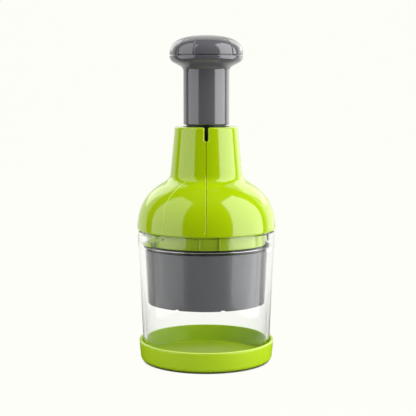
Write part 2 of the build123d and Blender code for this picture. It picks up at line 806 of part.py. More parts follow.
def carrier_screws():
    """Screws that clamp the carrier to the bosses of the cup."""
    screws = []
    for x, y in carrier_screw_places:
        head = cylinder(
            carrier_screw_head_r, carrier_z - carrier_screw_head_height - fit_gap, carrier_z - fit_gap
        )
        shank = cylinder(carrier_screw_r, carrier_z - fit_gap, carrier_z + carrier_screw_length)
        screws.append(Pos(x, y, 0) * (head + shank))
    return Compound(children=screws)


# ---- stripper plate ---------------------------------------------------------------------------
def stripper_plate():
    """Plate that the blades pass through; it pushes food off them as it springs back."""
    plate_r = cup_bottom_r - cup_wall - 1.6 * slide_gap
    plate = cylinder(plate_r, stripper_z, stripper_top_z)
    slot_width = blade_thickness + 2 * slot_gap
    for line in (centre_zigzag, side_zigzag, half_turn(side_zigzag)):
        plate -= Pos(0, 0, stripper_z) * extrude(mitred(line, slot_width), stripper_thickness)
    post_top = carrier_top_z + seat_gap + post_cap_thickness + post_tip
    for x, y in post_places:
        plate += Pos(x, y, 0) * cylinder(post_r, stripper_top_z, post_top)
    return plate


def stripper_caps():
    """Push-on caps that stop the stripper's posts at the carrier."""
    low = carrier_top_z + seat_gap
    cap = tube(post_cap_r, post_r + fit_gap, low, low + post_cap_thickness)
    return Compound(children=[Pos(x, y, 0) * cap for x, y in post_places])


def stripper_springs():
    """Small springs on the posts, between the stripper and the carrier."""
    spring = coil(
        stripper_spring_r,
        stripper_spring_wire / 2,
        stripper_top_z + press_gap,
        carrier_z - press_gap,
        stripper_spring_turns,
    )
    return Compound(children=[Pos(x, y, 0) * spring for x, y in post_places])


def build():
    """Make every piece and write it to its own STEP file."""
    half = housing_half()
    pieces = {
        "base_tray": base_tray(),
        "foot_ring": foot_ring(),
        "clear_container": clear_container(),
        "bayonet_ring": bayonet_ring(),
        "seal_ring": seal_ring(),
        "index_bush": index_bush(),
        "hinge_pins": hinge_pins(),
        "housing_right": half,
        "housing_left": Rot(0, 0, 180) * half,
        "knob_cap": knob_cap(),
        "knob_stem": knob_stem(),
        "plunger_sleeve": plunger_sleeve(),
        "spring_seat": spring_seat(),
        "return_spring": return_spring(),
        "twisted_rod": twisted_rod(),
        "swivel_washer": swivel_washer(),
        "swivel_screw": swivel_screw(),
        "blade_cup": blade_cup(),
        "blade_carrier": blade_carrier(),
        "cross_pin": cross_pin(),
        "blade_centre": zigzag_blade(centre_zigzag),
        "blade_rear": zigzag_blade(side_zigzag),
        "blade_front": zigzag_blade(half_turn(side_zigzag)),
        "carrier_screws": carrier_screws(),
        "stripper_plate": stripper_plate(),
        "stripper_caps": stripper_caps(),
        "stripper_springs": stripper_springs(),
    }
    os.makedirs("parts", exist_ok=True)
    for name, shape in pieces.items():
        export_step(shape, f"parts/{name}.step")
    print("press travel", round(press_travel, 3), "total height", round(cap_z + cap_height, 2))


build()
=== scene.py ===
# %% [markdown]
# # A press-down food chopper
#
# The chopper is a tower of moulded pieces: a round tray, a clear container, a bayonet ring, a bell
# made of two hinged halves, and a sprung plunger with a grey knob. The construction is already
# there as a fixed frame, at real size, in metres, standing on z = 0. This lesson dresses it: it
# sets up a small photo studio, mixes the plastics and metals, and adds the pieces whose surface
# is better worked out as a formula.

# %% Load the frame
import math

import bpy
import numpy as np
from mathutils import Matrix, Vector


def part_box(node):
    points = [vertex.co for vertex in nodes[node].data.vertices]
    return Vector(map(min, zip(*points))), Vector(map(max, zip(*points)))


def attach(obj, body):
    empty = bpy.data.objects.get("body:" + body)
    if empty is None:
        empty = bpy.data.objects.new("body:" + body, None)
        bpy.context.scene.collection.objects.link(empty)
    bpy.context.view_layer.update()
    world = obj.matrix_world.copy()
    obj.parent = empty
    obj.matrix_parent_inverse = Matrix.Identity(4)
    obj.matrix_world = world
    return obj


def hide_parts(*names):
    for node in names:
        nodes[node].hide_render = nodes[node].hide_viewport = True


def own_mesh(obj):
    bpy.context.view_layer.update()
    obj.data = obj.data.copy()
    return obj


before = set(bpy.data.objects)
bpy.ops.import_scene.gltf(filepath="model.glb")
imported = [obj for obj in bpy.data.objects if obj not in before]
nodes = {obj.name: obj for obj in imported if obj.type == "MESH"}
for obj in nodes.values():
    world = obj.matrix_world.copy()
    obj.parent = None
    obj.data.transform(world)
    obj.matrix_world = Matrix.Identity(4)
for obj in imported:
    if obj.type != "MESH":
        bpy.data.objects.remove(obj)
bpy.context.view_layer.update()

mm = 0.001

# %% [markdown]
# ## The camera
#
# A long lens about 0.83 m in front of the chopper, level with the plunger's stem and tipped down a
# little, shows the side of the tower and just a sliver of each rim. A lens of about 100 mm keeps
# the outline nearly flat, so that the tapers of the tray, container and neck read as they are.

# %% Camera
camera_distance = 0.833
camera_height = 0.203
camera_side = 0.0012
camera_pitch_deg = 6.4
sensor_mm = 36.0
focal_mm = 101.6

camera_data = bpy.data.cameras.new("camera")
camera_data.sensor_width = sensor_mm
camera_data.lens = focal_mm
camera = bpy.data.objects.new("camera", camera_data)
camera.location = (camera_side, -camera_distance, camera_height)
camera.rotation_euler = (math.radians(90 - camera_pitch_deg), 0, 0)
bpy.context.scene.collection.objects.link(camera)
bpy.context.scene.camera = camera
print("camera:", focal_mm, "mm lens at", tuple(round(v, 3) for v in camera.location))

# %% [markdown]
# ## A surface from a formula
#
# Every new surface here is a grid of points: two parameters run over it, and numpy works out all
# the points at once. One helper numbers the faces between neighbouring points, and another turns
# points and faces into a smooth-shaded object that stays at the origin.


# %% Helpers: a grid of points becomes a mesh
def grid_faces(rows, columns, close_rows=False, close_columns=False):
    """Corner numbers of the four-sided faces between neighbours of a rows x columns grid."""
    row = np.arange(rows if close_rows else rows - 1)
    column = np.arange(columns if close_columns else columns - 1)
    r, c = (a.ravel() for a in np.meshgrid(row, column, indexing="ij"))
    start, start_next = r * columns, (r + 1) % rows * columns
    c_next = (c + 1) % columns
    return np.stack([start + c, start + c_next, start_next + c_next, start_next + c], 1)


def add_mesh(name, points, faces, crease_deg=None):
    """A smooth-shaded object at the origin; edges that fold more than `crease_deg` stay sharp."""
    mesh = bpy.data.meshes.new(name)
    mesh.from_pydata(points.tolist(), [], [list(face) for face in faces])
    mesh.polygons.foreach_set("use_smooth", np.ones(len(mesh.polygons), bool))
    if crease_deg is not None:
        mesh.set_sharp_from_angle(angle=math.radians(crease_deg))
    mesh.update()
    piece = bpy.data.objects.new(name, mesh)
    bpy.context.scene.collection.objects.link(piece)
    print(f"{name}: {len(mesh.vertices)} points, {len(mesh.polygons)} faces")
    return piece


# %% [markdown]
# ## The studio sweep
#
# A pale sheet lies under the chopper and rolls up behind it, so that no horizon shows. For the
# camera, and for rays that meet it in a reflection or through clear plastic, most of its white is
# its own glow. The rest takes the light, which keeps a soft shadow under the tray. In reflections
# the sheet carries a painted shadow: beside the chopper its glow and its paper colour fall to dark,
# and they brighten further out. Right under the tray's edge the glow is cut for the camera too, a
# ring of painted shade where the paper's real shadow then shows as a thin dark line.

# %% Sweep
sweep_front = -0.16
sweep_front_half = 0.14
sweep_back_half = 0.5
sweep_bend = 0.9
sweep_bend_r = 0.7
sweep_height = 2.6
sweep_steps = 24


def sweep_points():
    """Flat floor, a quarter circle and a straight wall in (y, z), drawn out along x. Its half
    width grows evenly with y, as the camera's view does."""
    turn = np.linspace(0, math.pi / 2, sweep_steps)
    back = sweep_bend + sweep_bend_r
    y = np.concatenate([[sweep_front], sweep_bend + sweep_bend_r * np.sin(turn), [back]])
    z = np.concatenate([[0.0], sweep_bend_r * (1 - np.cos(turn)), [sweep_height]])
    half = np.interp(y, [sweep_front, back], [sweep_front_half, sweep_back_half])
    x = np.stack([-half, half], 1).ravel()
    return np.stack([x, np.repeat(y, 2), np.repeat(z, 2)], 1)


sweep = add_mesh("studio_sweep", sweep_points(), grid_faces(sweep_steps + 2, 2))


# %% [markdown]
# ## Shader nodes by code
#
# Every finish is a small tree of nodes. It could be drawn by hand in the shader editor. Written
# out, it can be read, measured and changed in one place. A few helpers add a node with its values,
# join two sockets, and place the bits of arithmetic that several trees need.


# %% Helpers: shader nodes
def new_material(name):
    """An empty material and its node tree."""
    material = bpy.data.materials.new(name)
    material.use_nodes = True
    material.node_tree.nodes.clear()
    return material, material.node_tree


def add_node(tree, kind, place=(0, 0), settings=None, **inputs):
    """A shader node; settings are its own properties and inputs are values of its sockets."""
    node = tree.nodes.new(kind)
    node.location = place
    for key, value in (settings or {}).items():
        setattr(node, key, value)
    for key, value in inputs.items():
        node.inputs[key.replace("_", " ")].default_value = value
    return node


def link(tree, start, end):
    """Join an output socket to an input socket."""
    tree.links.new(start, end)


def add_math(tree, operation, first, second, place=(0, 0)):
    """A Math node; each side is a number or an output socket. Returns its output."""
    node = add_node(tree, "ShaderNodeMath", place, {"operation": operation})
    for socket, side in zip(node.inputs, (first, second)):
        if isinstance(side, (int, float)):
            socket.default_value = side
        else:
            link(tree, side, socket)
    return node.outputs[0]


def add_fade(tree, value, low, high, place, least=0.0):
    """A smooth step of an output socket: `least` up to `low`, and 1 from `high` on."""
    settings = {"interpolation_type": "SMOOTHSTEP"}
    node = add_node(
        tree, "ShaderNodeMapRange", place, settings, From_Min=low, From_Max=high, To_Min=least
    )
    link(tree, value, node.inputs["Value"])
    return node.outputs[0]


def show_mix(tree, share, first, second):
    """Mix two shaders, with `share` of the second, and make the mix the material's surface."""
    mix = add_node(tree, "ShaderNodeMixShader")
    out = add_node(tree, "ShaderNodeOutputMaterial", (200, 0))
    for start, socket in zip((share, first.outputs[0], second.outputs[0]), mix.inputs):
        link(tree, start, socket)
    link(tree, mix.outputs[0], out.inputs["Surface"])


# %% Sweep material
warm_white = (0.995, 1.0, 0.94, 1)
sweep_white = 0.5
sweep_glow_share = 0.978
# Painted shadow in reflections: dark near the axis up to the first radius, gone by the second.
painted_shadow_r, painted_shadow_end_r = 0.06, 0.5
# Painted contact shade: inside the first radius the camera sees no glow, and from the second on it
# does.
painted_contact_r, painted_contact_end_r = 0.0445, 0.0465

sweep_material, tree = new_material("studio_white")
paper = add_node(tree, "ShaderNodeBsdfDiffuse", (-200, 0))
glow = add_node(tree, "ShaderNodeEmission", (-200, -150), Color=warm_white, Strength=1.0)
ray = add_node(tree, "ShaderNodeLightPath", (-800, 200))
where = add_node(tree, "ShaderNodeTexCoord", (-1300, 0))
distance = add_node(tree, "ShaderNodeVectorMath", (-1100, 0), {"operation": "LENGTH"})
link(tree, where.outputs["Object"], distance.inputs[0])
outside_painted_shadow = add_fade(tree, distance.outputs["Value"], painted_shadow_r, painted_shadow_end_r, (-950, 0))
glow_outside_painted_contact = add_fade(tree, distance.outputs["Value"], painted_contact_r, painted_contact_end_r, (-950, 300))
# In reflections the glow fades in away from the chopper, and the paper colour falls to dark near
# it: a painted shadow.
mirrored = add_math(tree, "MULTIPLY", ray.outputs["Is Glossy Ray"], outside_painted_shadow, (-750, 100))
painted_shadow_in_reflection = add_math(tree, "SUBTRACT", ray.outputs["Is Glossy Ray"], mirrored, (-750, -50))
paper_outside_painted_shadow = add_math(tree, "SUBTRACT", 1.0, painted_shadow_in_reflection, (-600, -50))
link(tree, add_math(tree, "MULTIPLY", paper_outside_painted_shadow, sweep_white, (-450, -50)), paper.inputs["Color"])
# Under the tray's edge the camera glow is cut. This is painted shade, and the paper's real shadow
# shows there as a thin dark line.
on_camera = add_math(tree, "MULTIPLY", ray.outputs["Is Camera Ray"], glow_outside_painted_contact, (-750, 300))
seen = add_math(tree, "MAXIMUM", on_camera, mirrored, (-600, 200))
seen = add_math(tree, "MAXIMUM", seen, ray.outputs["Is Transmission Ray"], (-450, 200))
share = add_math(tree, "MULTIPLY", seen, sweep_glow_share, (-300, 200))
show_mix(tree, share, paper, glow)
sweep.data.materials.append(sweep_material)
print("sweep glow share:", sweep_glow_share)

# %% [markdown]
# ## The light
#
# Glossy plastic is seen by what it mirrors. A tall softbox on each side draws a bright upright
# band on every round form, and the dark air between them leaves the middle in its own colour.
# The white backdrop whitens the very edge of each form, and two small panels high behind do the
# same for the sloping shoulders. A third one stands low behind and makes the right edges the
# brighter ones. A lamp overhead gives depth to the colours and isn't mirrored, so that it draws
# no band.


# %% Helper: a softbox
def add_softbox(name, place, size, watts, aim, mirrored):
    """A rectangular lamp of (width, height) in metres that faces the point `aim`."""
    lamp = bpy.data.lights.new(name, "AREA")
    lamp.shape = "RECTANGLE"
    lamp.size, lamp.size_y = size
    lamp.energy = watts
    box = bpy.data.objects.new(name, lamp)
    box.location = place
    box.visible_glossy = mirrored
    x, y, z = (a - p for a, p in zip(aim, place))
    box.rotation_euler = (math.atan2(math.hypot(x, y), -z), 0, math.atan2(-x, y))
    bpy.context.scene.collection.objects.link(box)
    print(f"{name}: {watts} W at", tuple(round(v, 2) for v in place))


# %% The lamps round the chopper
softbox_z = 0.82
softbox_tall = 2.56
shoulder_z = 0.13
lamps = [
    # name, turn from the front in degrees (positive towards +X), distance, height, size, watts,
    # height of the aim on the axis
    ("left_softbox", -70, 0.9, softbox_z, (1.08, softbox_tall), 14, softbox_z),
    ("right_softbox", 75, 0.9, softbox_z, (1.1, softbox_tall), 29, softbox_z),
    ("left_rim_panel", -147, 1.0, 0.66, (0.5, 0.7), 1.5, shoulder_z),
    ("right_rim_panel", 147, 1.0, 0.66, (0.5, 0.7), 1.6, shoulder_z),
    ("right_edge_panel", 138, 0.75, 0.2, (0.42, 0.4), 0.4, 0.2),
    ("overhead_lamp", 0, 0.25, 1.4, (1.2, 1.2), 12, 0.1),
]
for name, turn_deg, distance, height, size, watts, aim_z in lamps:
    turn = math.radians(turn_deg)
    place = (distance * math.sin(turn), -distance * math.cos(turn), height)
    add_softbox(name, place, size, watts, (0, 0, aim_z), mirrored=name != "overhead_lamp")

# %% [markdown]
# ## The air of the studio
#
# Past the sweep the camera sees plain white, also through clear plastic. In reflections that
# white backdrop stands where it belongs, in a wide arc behind the chopper, and the open room in
# front is dark. What the room adds to the light is even and weak.

# %% World
room_strength = 0.1
mirrored_room = 0.02
backdrop_from, backdrop_full = 0.44, 0.52

world = bpy.data.worlds.new("studio_air")
world.use_nodes = True
tree = world.node_tree
background = tree.nodes["Background"]
background.inputs["Color"].default_value = warm_white
where = add_node(tree, "ShaderNodeTexCoord", (-1300, -200))
axes = add_node(tree, "ShaderNodeSeparateXYZ", (-1100, -200))
link(tree, where.outputs["Generated"], axes.inputs[0])
behind = add_fade(
    tree, axes.outputs["Y"], backdrop_from, backdrop_full, (-900, -200), least=mirrored_room
)
ray = add_node(tree, "ShaderNodeLightPath", (-1300, 200))
kinds = ("Camera", "Transmission", "Glossy")
direct, through, glossy = (ray.outputs[f"Is {kind} Ray"] for kind in kinds)
seen = add_math(tree, "MAXIMUM", direct, through, (-900, 200))
mirrored = add_math(tree, "MULTIPLY", glossy, behind, (-700, -100))
rest = add_math(tree, "SUBTRACT", 1.0, glossy, (-900, 50))
room = add_math(tree, "MULTIPLY", rest, room_strength, (-700, 50))
strength = add_math(tree, "ADD", mirrored, room, (-500, 0))
strength = add_math(tree, "MAXIMUM", strength, seen, (-300, 0))
link(tree, strength, background.inputs["Strength"])
bpy.context.scene.world = world
bpy.context.scene.view_settings.view_transform = "Standard"
print("room strength:", room_strength)

# %% [markdown]
# ## Effects that the finishes share
#
# Moulded plastic is never quite even. Its colour drifts a little where the melt flowed, its
# surface carries the fine grain of the mould, and handling leaves softer and shinier places. Each
# effect is a node group, built once, that any finish places with its own values.


# %% Helper: a node group
def new_group(name, inputs, outputs):
    """An empty shader group with (label, kind, value) inputs and (label, kind) outputs."""
    group = bpy.data.node_groups.new(name, "ShaderNodeTree")
    for label, kind, value in inputs:
        socket = group.interface.new_socket(label, in_out="INPUT", socket_type=kind)
        if value is not None:
            socket.default_value = value
    for label, kind in outputs:
        group.interface.new_socket(label, in_out="OUTPUT", socket_type=kind)
    start = add_node(group, "NodeGroupInput", (-900, 0))
    end = add_node(group, "NodeGroupOutput", (500, 0))
    return group, start, end


def place_group(tree, group, place, **values):
    """The group as a node in a material, with values for its inputs."""
    node = add_node(tree, "ShaderNodeGroup", place, {"node_tree": group})
    for key, value in values.items():
        node.inputs[key].default_value = value
    return node


# %% Group: colour drift
tone_drift, start, end = new_group(
    "tone_drift",
    [
        ("Place", "NodeSocketVector", None),
        ("Colour", "NodeSocketColor", (0.5, 0.5, 0.5, 1)),
        ("Amount", "NodeSocketFloat", 0.06),
        ("Patches per metre", "NodeSocketFloat", 30.0),
    ],
    [("Colour", "NodeSocketColor")],
)
clouds = add_node(tone_drift, "ShaderNodeTexNoise", (-650, 0), Detail=3.0, Roughness=0.55)
link(tone_drift, start.outputs["Place"], clouds.inputs["Vector"])
link(tone_drift, start.outputs["Patches per metre"], clouds.inputs["Scale"])
centred = add_math(tone_drift, "SUBTRACT", clouds.outputs["Fac"], 0.5, (-450, 0))
swing = add_math(tone_drift, "MULTIPLY", centred, start.outputs["Amount"], (-280, 0))
value = add_math(tone_drift, "ADD", swing, 1.0, (-110, 0))
shade = add_node(tone_drift, "ShaderNodeHueSaturation", (100, 0))
link(tone_drift, value, shade.inputs["Value"])
link(tone_drift, start.outputs["Colour"], shade.inputs["Color"])
link(tone_drift, shade.outputs["Color"], end.inputs["Colour"])
print("group:", tone_drift.name)

# %% Group: mould grain
mould_grain, start, end = new_group(
    "mould_grain",
    [
        ("Place", "NodeSocketVector", None),
        ("Grains per metre", "NodeSocketFloat", 1800.0),
        ("Ripples per metre", "NodeSocketFloat", 90.0),
        ("Ripple share", "NodeSocketFloat", 0.5),
    ],
    [("Height", "NodeSocketFloat")],
)
fine = add_node(mould_grain, "ShaderNodeTexNoise", (-600, 150), Detail=2.0, Roughness=0.6)
broad = add_node(mould_grain, "ShaderNodeTexNoise", (-600, -150), Detail=1.0, Roughness=0.4)
for texture, size in ((fine, "Grains per metre"), (broad, "Ripples per metre")):
    link(mould_grain, start.outputs["Place"], texture.inputs["Vector"])
    link(mould_grain, start.outputs[size], texture.inputs["Scale"])
ripple_share = start.outputs["Ripple share"]
rippled = add_math(mould_grain, "MULTIPLY", broad.outputs["Fac"], ripple_share, (-300, -150))
relief = add_math(mould_grain, "ADD", fine.outputs["Fac"], rippled, (-100, 0))
link(mould_grain, relief, end.inputs["Height"])
print("group:", mould_grain.name)

# %% Group: handling marks
scuff_turn = (0.6, 0.4, 0.9)
scuffs_per_metre = (60, 900, 240)
scuff_from, scuff_full = 0.66, 0.74

handling_marks, start, end = new_group(
    "handling_marks",
    [
        ("Place", "NodeSocketVector", None),
        ("Roughness", "NodeSocketFloat", 0.2),
        ("Spread", "NodeSocketFloat", 0.08),
        ("Patches per metre", "NodeSocketFloat", 60.0),
        ("Scuffs", "NodeSocketFloat", 0.05),
    ],
    [("Roughness", "NodeSocketFloat")],
)
smudge = add_node(handling_marks, "ShaderNodeTexNoise", (-650, 200), Detail=4.0, Roughness=0.6)
link(handling_marks, start.outputs["Place"], smudge.inputs["Vector"])
link(handling_marks, start.outputs["Patches per metre"], smudge.inputs["Scale"])
stretch = add_node(handling_marks, "ShaderNodeMapping", (-850, -200))
stretch.inputs["Rotation"].default_value = scuff_turn
stretch.inputs["Scale"].default_value = scuffs_per_metre
link(handling_marks, start.outputs["Place"], stretch.inputs["Vector"])
scratch = add_node(handling_marks, "ShaderNodeTexNoise", (-650, -200), Scale=1.0, Detail=2.0)
link(handling_marks, stretch.outputs[0], scratch.inputs["Vector"])
ridge = add_node(handling_marks, "ShaderNodeValToRGB", (-450, -200))
ridge.color_ramp.elements[0].position = scuff_from
ridge.color_ramp.elements[1].position = scuff_full
link(handling_marks, scratch.outputs["Fac"], ridge.inputs["Fac"])
centred = add_math(handling_marks, "SUBTRACT", smudge.outputs["Fac"], 0.5, (-450, 200))
swing = add_math(handling_marks, "MULTIPLY", centred, start.outputs["Spread"], (-280, 200))
amount = start.outputs["Scuffs"]
scuffed = add_math(handling_marks, "MULTIPLY", ridge.outputs["Color"], amount, (-150, -200))
rough = add_math(handling_marks, "ADD", start.outputs["Roughness"], swing, (-80, 100))
rough = add_math(handling_marks, "ADD", rough, scuffed, (100, 0))
link(handling_marks, rough, end.inputs["Roughness"])
print("group:", handling_marks.name)

# %% [markdown]
# ## The finishes
#
# One function mixes every plastic. Its colour drifts, its roughness carries the handling marks
# and its normal carries the mould grain. What is the same all over, such as how strongly the
# surface mirrors, is set on the shader itself. The green and grey shells are polished, the tray
# and the cup are satin, and the rubber hardly shines.


# %% Helper: the end of a finish
def finish_surface(tree, shader, colour, roughness, height, depth):
    """Colour, roughness and a relief of `depth` metres feed the shader, which is the surface."""
    bump = add_node(tree, "ShaderNodeBump", (-350, -250), Strength=1.0, Distance=depth)
    link(tree, height, bump.inputs["Height"])
    link(tree, colour, shader.inputs["Base Color"])
    link(tree, roughness, shader.inputs["Roughness"])
    link(tree, bump.outputs["Normal"], shader.inputs["Normal"])
    out = add_node(tree, "ShaderNodeOutputMaterial", (300, 0))
    link(tree, shader.outputs["BSDF"], out.inputs["Surface"])


# %% Moulded plastic
plastic_drift = 0.06
plastic_marks = {"Spread": 0.05, "Scuffs": 0.03}
soft_reach = 2 * mm


def moulded_plastic(name, colour, roughness, specular=0.5, grain=1800.0, depth=2e-6, soft=0.0):
    """Opaque plastic: colour and roughness vary slowly, and a grain of `depth` metres bends the
    light. `soft` is the share of the light that wanders under the surface."""
    material, tree = new_material(name)
    where = add_node(tree, "ShaderNodeTexCoord", (-1100, 0))
    tone = place_group(tree, tone_drift, (-700, 250), Colour=(*colour, 1), Amount=plastic_drift)
    marks = place_group(tree, handling_marks, (-700, 0), Roughness=roughness, **plastic_marks)
    relief = place_group(tree, mould_grain, (-700, -250))
    relief.inputs["Grains per metre"].default_value = grain
    for group in (tone, marks, relief):
        link(tree, where.outputs["Object"], group.inputs["Place"])
    shader = add_node(tree, "ShaderNodeBsdfPrincipled", (-50, 0))
    shader.inputs["Specular IOR Level"].default_value = specular
    shader.inputs["Subsurface Weight"].default_value = soft
    shader.inputs["Subsurface Scale"].default_value = soft_reach
    colour_out, roughness_out = tone.outputs["Colour"], marks.outputs["Roughness"]
    finish_surface(tree, shader, colour_out, roughness_out, relief.outputs["Height"], depth)
    print("finish:", name)
    return material


# %% The plastics and the rubber
lime = (0.34, 0.495, 0.001)
# The tray's lime is the bell's lime painted lighter, standing in for the stronger light from above.
lime_painted_lighter = (0.45, 0.67, 0.001)
# A pale lime that paints highlight lines.
pale_lime_painted_highlight = (0.6, 0.76, 0.16)
knob_grey = (0.102, 0.1, 0.112)
cup_grey = (0.11, 0.11, 0.117)
dark_grey = (0.03, 0.03, 0.032)
ivory = (0.72, 0.71, 0.68)
black = (0.01, 0.01, 0.011)

lime_gloss = moulded_plastic("lime_gloss", lime, 0.09, specular=0.75)
# The tray's satin, in the lime painted lighter. The plug's rib beads wear it too, as a painted
# highlight.
lime_satin_painted_lighter = moulded_plastic("lime_satin_painted_lighter", lime_painted_lighter, 0.4, grain=1400.0, depth=3e-6)
# Pale lime that paints highlight lines on the bell's beads and on the tray's lip.
lime_painted_highlight = moulded_plastic("lime_painted_highlight", pale_lime_painted_highlight, 0.35, specular=0.6)
grey_gloss = moulded_plastic("grey_gloss", knob_grey, 0.12, specular=0.9)
grey_satin = moulded_plastic("grey_satin", cup_grey, 0.2, specular=0.35, grain=5000.0, depth=3e-7)
charcoal = moulded_plastic("charcoal", dark_grey, 0.42, grain=1200.0, depth=6e-6)
nylon = moulded_plastic("nylon", ivory, 0.4, soft=0.2)
rubber = moulded_plastic("rubber", black, 0.62, specular=0.15, grain=900.0, depth=1.2e-5)

# %% [markdown]
# ## Bare steel
#
# The blades are ground, the rod and the screws are turned, and the springs are drawn wire. All
# three leave streaks along the way the tool or the die moved. Noise that is stretched in that
# direction bends the light in the same way, so that one function makes them all.

# %% Steel
steel_drift = 0.1
steel_marks = {"Spread": 0.12, "Scuffs": 0.08}


def drawn_steel(name, colour, roughness, stretch, streak_depth):
    """Bare metal with fine streaks: noise that is stretched along the direction of the work."""
    material, tree = new_material(name)
    where = add_node(tree, "ShaderNodeTexCoord", (-1300, 0))
    squeeze = add_node(tree, "ShaderNodeMapping", (-1100, -200))
    squeeze.inputs["Scale"].default_value = stretch
    streaks = add_node(
        tree, "ShaderNodeTexNoise", (-900, -200), Scale=1.0, Detail=3.0, Roughness=0.7
    )
    tone = place_group(tree, tone_drift, (-600, 250), Colour=(*colour, 1), Amount=steel_drift)
    marks = place_group(tree, handling_marks, (-600, 0), Roughness=roughness, **steel_marks)
    link(tree, where.outputs["Object"], squeeze.inputs["Vector"])
    link(tree, squeeze.outputs[0], streaks.inputs["Vector"])
    for group in (tone, marks):
        link(tree, where.outputs["Object"], group.inputs["Place"])
    shader = add_node(tree, "ShaderNodeBsdfPrincipled", (-50, 0), Metallic=1.0)
    colour_out, roughness_out = tone.outputs["Colour"], marks.outputs["Roughness"]
    finish_surface(tree, shader, colour_out, roughness_out, streaks.outputs["Fac"], streak_depth)
    print("finish:", name)
    return material


ground_steel = drawn_steel("ground_steel", (0.62, 0.62, 0.64), 0.24, (4000, 4000, 150), 2e-6)
turned_steel = drawn_steel("turned_steel", (0.58, 0.58, 0.60), 0.28, (300, 300, 6000), 2e-6)
spring_wire = drawn_steel("spring_wire", (0.50, 0.50, 0.52), 0.3, (900, 900, 900), 3e-6)

# %% [markdown]
# ## The clear wall
#
# The container is polished acrylic: light bends in its thick collar and passes its thin wall
# nearly straight. A glass shader alone would throw a black shadow on the cup inside, because few
# rays find a lamp through two bending faces. So rays that only carry light pass straight through,
# and rays from the camera bend.


# %% Clear plastic
wall_marks = {"Spread": 0.01, "Scuffs": 0.02}


def clear_plastic(name, tint, roughness, bend, shadow_share, sheen):
    """Polished clear plastic. Rays on their way to a lamp or in a reflection pass most of it, so
    that what is inside gets light. A ray inside the wall has crossed an odd number of faces: it
    bends."""
    material, tree = new_material(name)
    where = add_node(tree, "ShaderNodeTexCoord", (-900, 0))
    marks = place_group(tree, handling_marks, (-600, 0), Roughness=roughness, **wall_marks)
    link(tree, where.outputs["Object"], marks.inputs["Place"])
    shader = add_node(tree, "ShaderNodeBsdfPrincipled", (-300, 0), IOR=bend)
    shader.inputs["Base Color"].default_value = tint
    shader.inputs["Transmission Weight"].default_value = 1.0
    shader.inputs["Specular Tint"].default_value = sheen
    link(tree, marks.outputs["Roughness"], shader.inputs["Roughness"])
    passed = add_node(tree, "ShaderNodeBsdfTransparent", (-300, -350), Color=tint)
    ray = add_node(tree, "ShaderNodeLightPath", (-1000, 350))
    kept = add_math(tree, "SUBTRACT", 1.0, ray.outputs["Is Transmission Ray"], (-800, 200))
    within = add_math(tree, "MODULO", ray.outputs["Transmission Depth"], 2.0, (-800, 50))
    outside = add_math(tree, "SUBTRACT", 1.0, within, (-650, 50))
    kept = add_math(tree, "MULTIPLY", kept, outside, (-650, 150))
    mirrored = add_math(tree, "MULTIPLY", ray.outputs["Is Glossy Ray"], kept, (-500, 200))
    inner = add_math(tree, "MAXIMUM", mirrored, ray.outputs["Is Diffuse Ray"], (-500, 300))
    inner = add_math(tree, "MAXIMUM", inner, ray.outputs["Is Shadow Ray"], (-400, 350))
    share = add_math(tree, "MULTIPLY", inner, shadow_share, (-250, 250))
    show_mix(tree, share, shader, passed)
    print("finish:", name)
    return material


acrylic_tint = (0.985, 0.99, 0.99, 1)
acrylic_bend = 1.49
acrylic_sheen = (0.15, 0.15, 0.15, 1)
clear_wall = clear_plastic("clear_wall", acrylic_tint, 0.0, acrylic_bend, 0.92, acrylic_sheen)

# %% [markdown]
# ## Dressing the construction
#
# Each frame piece keeps its shape and takes its finish in its own material slot.

# %% Finishes of the frame pieces
finish_of = {
    "base_tray": lime_satin_painted_lighter,
    "foot_ring": rubber,
    "clear_container": clear_wall,
    "bayonet_ring": lime_gloss,
    "seal_ring": rubber,
    "index_bush": nylon,
    "hinge_pins": turned_steel,
    "housing_right": lime_gloss,
    "housing_left": lime_gloss,
    "knob_cap": grey_gloss,
    "knob_stem": grey_gloss,
    "plunger_sleeve": charcoal,
    "spring_seat": charcoal,
    "return_spring": spring_wire,
    "twisted_rod": turned_steel,
    "swivel_washer": turned_steel,
    "swivel_screw": turned_steel,
    "blade_cup": grey_satin,
    "blade_carrier": charcoal,
    "cross_pin": turned_steel,
    "blade_centre": ground_steel,
    "blade_rear": ground_steel,
    "blade_front": ground_steel,
    "carrier_screws": turned_steel,
    "stripper_plate": charcoal,
    "stripper_caps": nylon,
    "stripper_springs": spring_wire,
}
for name, node in nodes.items():
    node.material_slots[0].material = finish_of[name]
print("dressed:", len(finish_of), "frame pieces")

# %% [markdown]
# ## The springs
#
# The construction draws each spring as a coil of six flats. A real one is round wire, and its end
# turns lie close together, so that it stands square on its seat. Here a circle is carried along
# such a coil. The big spring shortens when the plunger goes down, and the four small ones when
# the stripper plate is pushed up; here each coil is only tied to a body and keeps its length.


# %% Helpers: a circle carried along a path
def on_axis(z):
    """Points on the chopper's axis at the heights `z`."""
    return np.stack([0 * z, 0 * z, z], 1)


def running_mean(values, width=9):
    """The mean of each `width` neighbours; it has width - 1 values fewer."""
    return np.convolve(values, np.ones(width) / width, "valid")


def carried_circle(middle, out, radius, flats=12):
    """Rings of points around the path `middle`, each square to it and spanned by the outward
    direction and by the one square to both. Returns points and faces with capped ends."""
    along = np.gradient(middle, axis=0)
    along /= np.linalg.norm(along, axis=1, keepdims=True)
    out = out - (out * along).sum(1, keepdims=True) * along
    out /= np.linalg.norm(out, axis=1, keepdims=True)
    up = np.cross(along, out)
    side = np.linspace(0, 2 * np.pi, flats, endpoint=False)
    cos, sin = np.cos(side)[None, :, None], np.sin(side)[None, :, None]
    ring = cos * out[:, None] + sin * up[:, None]
    faces = grid_faces(len(middle), flats, close_columns=True).tolist()
    last = (len(middle) - 1) * flats
    faces += [list(range(flats))[::-1], list(range(last, last + flats))]
    return (middle[:, None] + radius * ring).reshape(-1, 3), faces


